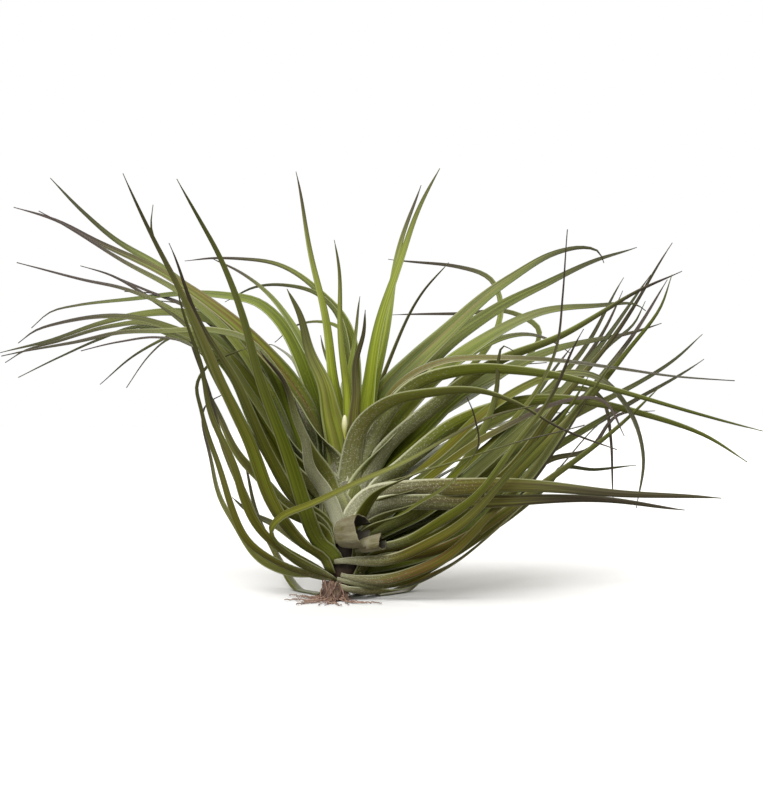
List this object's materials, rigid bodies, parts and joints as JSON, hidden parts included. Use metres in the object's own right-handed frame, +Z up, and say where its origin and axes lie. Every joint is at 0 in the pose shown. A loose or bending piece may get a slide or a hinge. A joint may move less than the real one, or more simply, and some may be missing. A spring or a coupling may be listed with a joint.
{
  "type": "air plant",
  "caption": "Soft-leaved air plant: a loose rosette of long channelled leaves that taper to threads, with a bright upright heart and wiry roots, resting on a surface.",
  "frame": {"origin": "the flat under the woody stub, on the surface that the plant rests on", "axes": "+Z up along the rosette, +X to the right and -Y towards the viewer in the picture's view"},
  "size_m": [0.2248, 0.1777, 0.1295],
  "materials": {
    "green_leaf": "satin grey-green leaf with fine silvery scales at its base and a dark purple-brown thread tip",
    "heart_leaf": "satin yellow-green young leaf",
    "dry_scale": "matt papery grey-tan",
    "root": "matt fibrous tan"
  },
  "bodies": {
    "root": {"leafy_rosette": "green_leaf", "heart_leaves": "heart_leaf", "left_dry_scale": "dry_scale", "right_dry_scale": "dry_scale", "rooted_stub": "root"}
  },
  "joints": []
}
